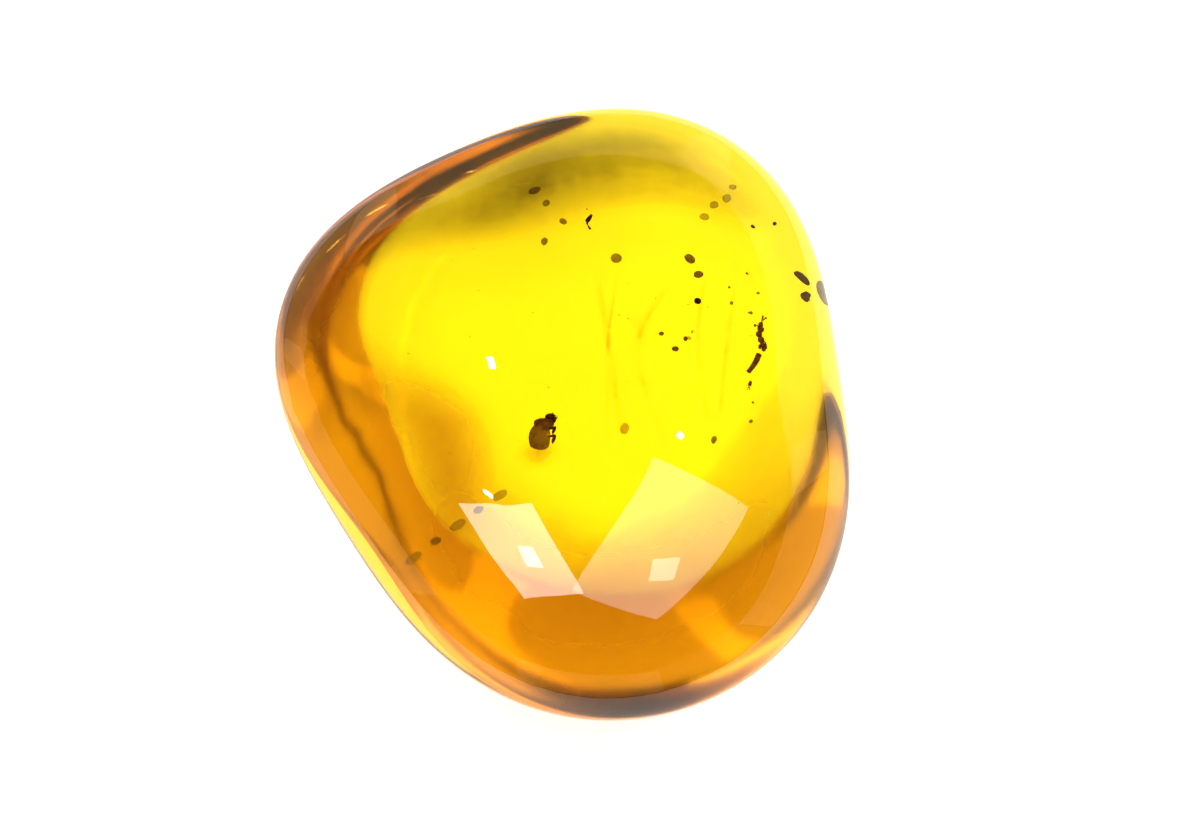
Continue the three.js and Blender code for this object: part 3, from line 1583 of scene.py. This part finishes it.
@dataclass
class Studio:
    """A glowing white table, soft boxes, small bright lamps, gold cards, and the camera."""

    stone: Stone
    lamps: Sequence[Lamp] = (*SOFT_BOXES, *SMALL_LAMPS, *GOLD_CARDS)
    table_size: float = 2.0  # metres
    table_gap_mm: float = 0.05  # between the stone and the table
    table_colour: tuple[float, float, float] = (0.85, 0.85, 0.85)
    table_glow: float = 0.80  # the light that the table itself gives
    sky: float = 0.06  # plain grey light from all round
    view_elevation: float = 70.6  # degrees above the table
    view_distance: float = 0.1167  # metres
    view_middle: tuple[float, float, float] = (0.130, 0.047, 0.334)  # shares of the box
    lens: float = 100.0  # millimetres

    def table(self) -> None:
        """The plain white table that the stone lies on, which gives off light of its own."""
        bpy.ops.object.select_all(action="DESELECT")
        bpy.ops.mesh.primitive_plane_add(
            size=self.table_size, location=(0, 0, self.stone.low.z - self.table_gap_mm * MM)
        )
        table = bpy.context.object
        table.name = "table"
        bpy.ops.object.transform_apply(location=True, rotation=True, scale=True)
        material, _, shader = start_material("paper_white_matte")
        shader.inputs["Base Color"].default_value = (*self.table_colour, 1.0)
        shader.inputs["Roughness"].default_value = 1.0
        shader.inputs["Specular IOR Level"].default_value = 0.0
        shader.inputs["Emission Color"].default_value = (1, 1, 1, 1)
        shader.inputs["Emission Strength"].default_value = self.table_glow
        table.data.materials.append(material)

    def sky_light(self) -> None:
        """Even grey light from all round."""
        world = bpy.data.worlds.new("studio_sky")
        bpy.context.scene.world = world
        world.use_nodes = True
        background = world.node_tree.nodes["Background"]
        background.inputs["Color"].default_value = (self.sky, self.sky, self.sky, 1.0)

    def hang(self, lamp: Lamp, target: Vector) -> None:
        """Hangs one lamp, facing the stone.

        Args:
            lamp: the lamp.
            target: what it faces.
        """
        bpy.ops.object.select_all(action="DESELECT")
        bpy.ops.object.light_add(type="AREA", location=lamp.place)
        light = bpy.context.object
        light.name = lamp.name
        light.data.shape = "RECTANGLE"
        light.data.size = lamp.width
        light.data.size_y = lamp.depth
        light.data.energy = lamp.power
        light.data.color = linear_rgb(lamp.colour)[:3]
        aim = (target - lamp.place).to_track_quat("-Z", "Y")
        light.rotation_mode = "QUATERNION"
        light.rotation_quaternion = aim @ Quaternion((0, 0, 1), math.radians(lamp.turn))

    def camera(self) -> None:
        """The camera, looking down on the stone from the front."""
        tilt = math.radians(self.view_elevation)
        target = self.stone.at(*self.view_middle)
        away = Vector((0, -math.cos(tilt), math.sin(tilt)))
        bpy.ops.object.camera_add(location=target + away * self.view_distance)
        camera = bpy.context.object
        camera.name = "camera"
        camera.rotation_mode = "QUATERNION"
        camera.rotation_quaternion = (-away).to_track_quat("-Z", "Y")
        camera.data.lens = self.lens
        camera.data.sensor_width = 36.0
        camera.data.clip_start = 0.001
        bpy.context.scene.camera = camera

    def build(self) -> None:
        """Sets up the table, the light and the camera."""
        self.table()
        self.sky_light()
        middle = self.stone.at(0, 0, 0.3)
        for lamp in self.lamps:
            self.hang(lamp, middle)
        self.camera()
        bpy.context.scene.view_settings.view_transform = "Standard"


# ---------------------------------------------------------------------------------------
# What lies where
# ---------------------------------------------------------------------------------------


def specks(
    tone: Tone, middle: tuple[float, float, float], spread: float, count: int, size: float, seed: int
) -> tuple[Crumb, ...]:
    """A loose group of small specks.

    Args:
        tone: what they are made of.
        middle: the group's middle, in shares of the stone's box.
        spread: how far they stray sideways, as a share of the box.
        count: how many there are.
        size: their mean length in millimetres.
        seed: of the random draws.

    Returns:
        The specks.
    """
    draw = random.Random(seed)
    group = []
    for _ in range(count):
        across, along = (draw.uniform(-spread, spread) for _ in range(2))
        length = size * draw.uniform(0.8, 1.2)
        place = (middle[0] + across, middle[1] + along, middle[2])
        group.append(Crumb(tone, place, (length, 0.8 * length, 0.75 * length), draw.uniform(0, 180)))
    return tuple(group)


def dashes(first: float, last: float, up: float, count: int, seed: int) -> tuple[RimBand, ...]:
    """A broken line of short healed cracks just under the skin.

    Args:
        first: azimuth where the line starts, degrees from +X towards +Y.
        last: where it ends.
        up: its height, as a share of the stone's.
        count: how many cracks it has.
        seed: of the random draws.

    Returns:
        The cracks.
    """
    draw = random.Random(seed)
    line = []
    for number in range(count):
        middle = first + (last - first) * (number + 0.5) / count
        half = 0.25 * (last - first) / count * draw.uniform(0.7, 1.3)
        height = up + draw.uniform(-0.02, 0.02)
        line.append(RimBand(middle - half, middle + half, height, inset=0.5, width=0.11))
    return tuple(line)


def painted_reflection_trail(
    first: tuple[float, float, float], last: tuple[float, float, float], count: int
) -> tuple[Crumb, ...]:
    """A line of soft dark crumbs, long ones and short ones in turn: a painted reflection of the long
    inclusions.

    Args:
        first: where the line starts, in shares of the stone's box.
        last: where it ends.
        count: how many crumbs it has.

    Returns:
        The crumbs.
    """
    line = []
    for number in range(count):
        share = number / (count - 1)
        place = tuple(a + (b - a) * share for a, b in zip(first, last))
        if number % 2:
            line.append(Crumb(Tone.FRASS_AND_REFLECTION, place, (0.34, 0.24, 0.17), 35 - 10 * number))
        else:
            line.append(Crumb(Tone.OLD_RESIN_AND_REFLECTION, place, (0.52, 0.30, 0.20), 30))
    return tuple(line)


CRUMBS = (
    # The few that stand out
    Crumb(Tone.BROWN_BARK, (-0.1, 0.6, 0.7), (0.5, 0.3, 0.25), 30),
    Crumb(Tone.BLACK_BARK, (0.45, 0.25, 0.65), (0.25, 0.25, 0.2), 0),
    Crumb(Tone.FRASS_AND_REFLECTION, (0.5, -0.2, 0.75), (0.3, 0.2, 0.2), 70),
    Crumb(Tone.OLD_RESIN_AND_REFLECTION, (0.2, -0.15, 0.6), (0.45, 0.3, 0.2), 75),
    # Loose groups beyond the insects, between them and nearer than them
    *specks(Tone.FRASS_AND_REFLECTION, (0.0, 0.5, 0.7), spread=0.08, count=3, size=0.28, seed=1),
    *specks(Tone.OLD_RESIN_AND_REFLECTION, (0.5, 0.55, 0.65), spread=0.1, count=4, size=0.35, seed=2),
    *specks(Tone.BROWN_BARK, (0.5, 0.4, 0.65), spread=0.08, count=2, size=0.36, seed=4),
    *specks(Tone.BLACK_BARK, (0.7, 0.5, 0.6), spread=0.05, count=2, size=0.18, seed=6),
    *specks(Tone.FRASS_AND_REFLECTION, (0.6, 0.3, 0.6), spread=0.08, count=6, size=0.13, seed=3),
    *specks(Tone.BROWN_BARK, (0.4, 0.15, 0.65), spread=0.08, count=3, size=0.24, seed=7),
    *specks(Tone.OLD_RESIN_AND_REFLECTION, (0.4, 0.1, 0.65), spread=0.06, count=2, size=0.16, seed=5),
    *specks(Tone.FRASS_AND_REFLECTION, (0.65, -0.1, 0.65), spread=0.04, count=2, size=0.13, seed=8),
    # A painted reflection: a line of dark crumbs where the long inclusions are mirrored.
    *painted_reflection_trail((-0.2, -0.35, 0.65), (-0.45, -0.5, 0.65), count=5),
)

# Fronts of the resin's flow, each from the far side towards the near side.
FLOW_LINES = tuple(
    Streak(((far, 0.4, 0.67), (middle, 0.1, 0.7), (near, -0.25, 0.72)), width)
    for far, middle, near, width in (
        (0.1, 0.15, 0.2, 0.35),
        (0.2, 0.15, 0.15, 0.2),
        (0.45, 0.25, 0.35, 0.4),
        (0.5, 0.45, 0.5, 0.3),
        (0.6, 0.55, 0.5, 0.25),
    )
)

# Golden dashes along the far and left sides, and low on the left.
HEALED_CRACKS = (
    *dashes(95, 165, 0.76, count=6, seed=2),
    *dashes(220, 250, 0.85, count=4, seed=4),
)

# Painted shade in films near the rim: brown under the far edge of the crown, russet on the left
# and orange along the near side; outside the brown band, an olive painted reflection.
# Each is a piece's name, its finish's name, colour and strength, and its bands.
PAINTED_RIM_BANDS = (
    (
        "far_painted_shade", "painted_shade_brown", "5e2a02", 0.8,
        (RimBand(150, 40, 0.65, inset=1.4, width=4.0, bow=1.6),),
    ),
    (
        "rim_painted_reflection", "painted_reflection_olive", "6a6414", 0.5,
        (RimBand(120, 40, 0.6, inset=1.6, width=2.6, bow=0.3),),
    ),
    (
        "left_rind", "painted_shade_russet", "c87400", 0.7,
        (RimBand(195, 130, 0.62, inset=1.6, width=3.0),),
    ),
    (
        "near_painted_shade", "painted_shade_orange", "f0a400", 0.75,
        (
            RimBand(195, 360, 0.6, inset=2.6, width=5.6, bow=1.6),
            RimBand(165, 245, 0.58, inset=3.0, width=3.6, bow=1.4),
        ),
    ),
)


def main() -> None:
    """Builds the stone, what is sealed in it, and the studio."""
    logging.basicConfig(level=logging.INFO, format="%(message)s")
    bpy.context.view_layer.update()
    stone = Stone()
    stone.build()
    Beetle(Pose(stone.at(-0.07, -0.17, 0.78), heading=89, pitch=4, roll=-82)).build()
    # A painted shadow: a soft olive leaf under the beetle, where its shadow falls.
    PaintedShadeLeaf("beetle_painted_shadow", Pose(stone.at(-0.08, -0.245, 0.73), heading=15), (1.9, 1.3)).build()
    ThripsHusk(stone.at(0.665, 0.11, 0.63)).build()
    BentLeg(Pose(stone.at(0.08, 0.5, 0.65))).build()
    Spore(Pose(stone.at(0.18, 0.375, 0.68), pitch=12, roll=10)).build()
    BarkChips(stone).build()
    Crumbs(stone, CRUMBS).build()
    Dust(stone).build()
    flow_film = FadingFilm("resin_flow_line", "b98a10", strongest=0.3, patch_mm=1.2)
    Films(stone, "flow_lines", flow_film, FLOW_LINES).build()
    crack_film = FadingFilm(
        "healed_crack", "f4c24a", strongest=0.75, patch_mm=0.25, metallic=1.0, roughness=0.25
    )
    Films(stone, "healed_cracks", crack_film, HEALED_CRACKS).build()
    # Painted shade: a soft olive leaf on the left side of the stone.
    left_shade_pose = Pose(stone.at(-0.66, -0.03, 0.72), heading=-50)
    PaintedShadeLeaf("olive_patch", left_shade_pose, (3.4, 2.0), colour="5c5208", strongest=0.45).build()
    # Films of painted shade and painted reflection near the rim.
    for name, finish_name, colour, strongest, bands in PAINTED_RIM_BANDS:
        film = FadingFilm(finish_name, colour, strongest, patch_mm=2.5, faintest=0.8)
        Films(stone, name, film, bands).build()
    Studio(stone).build()


if __name__ == "__main__":
    main()
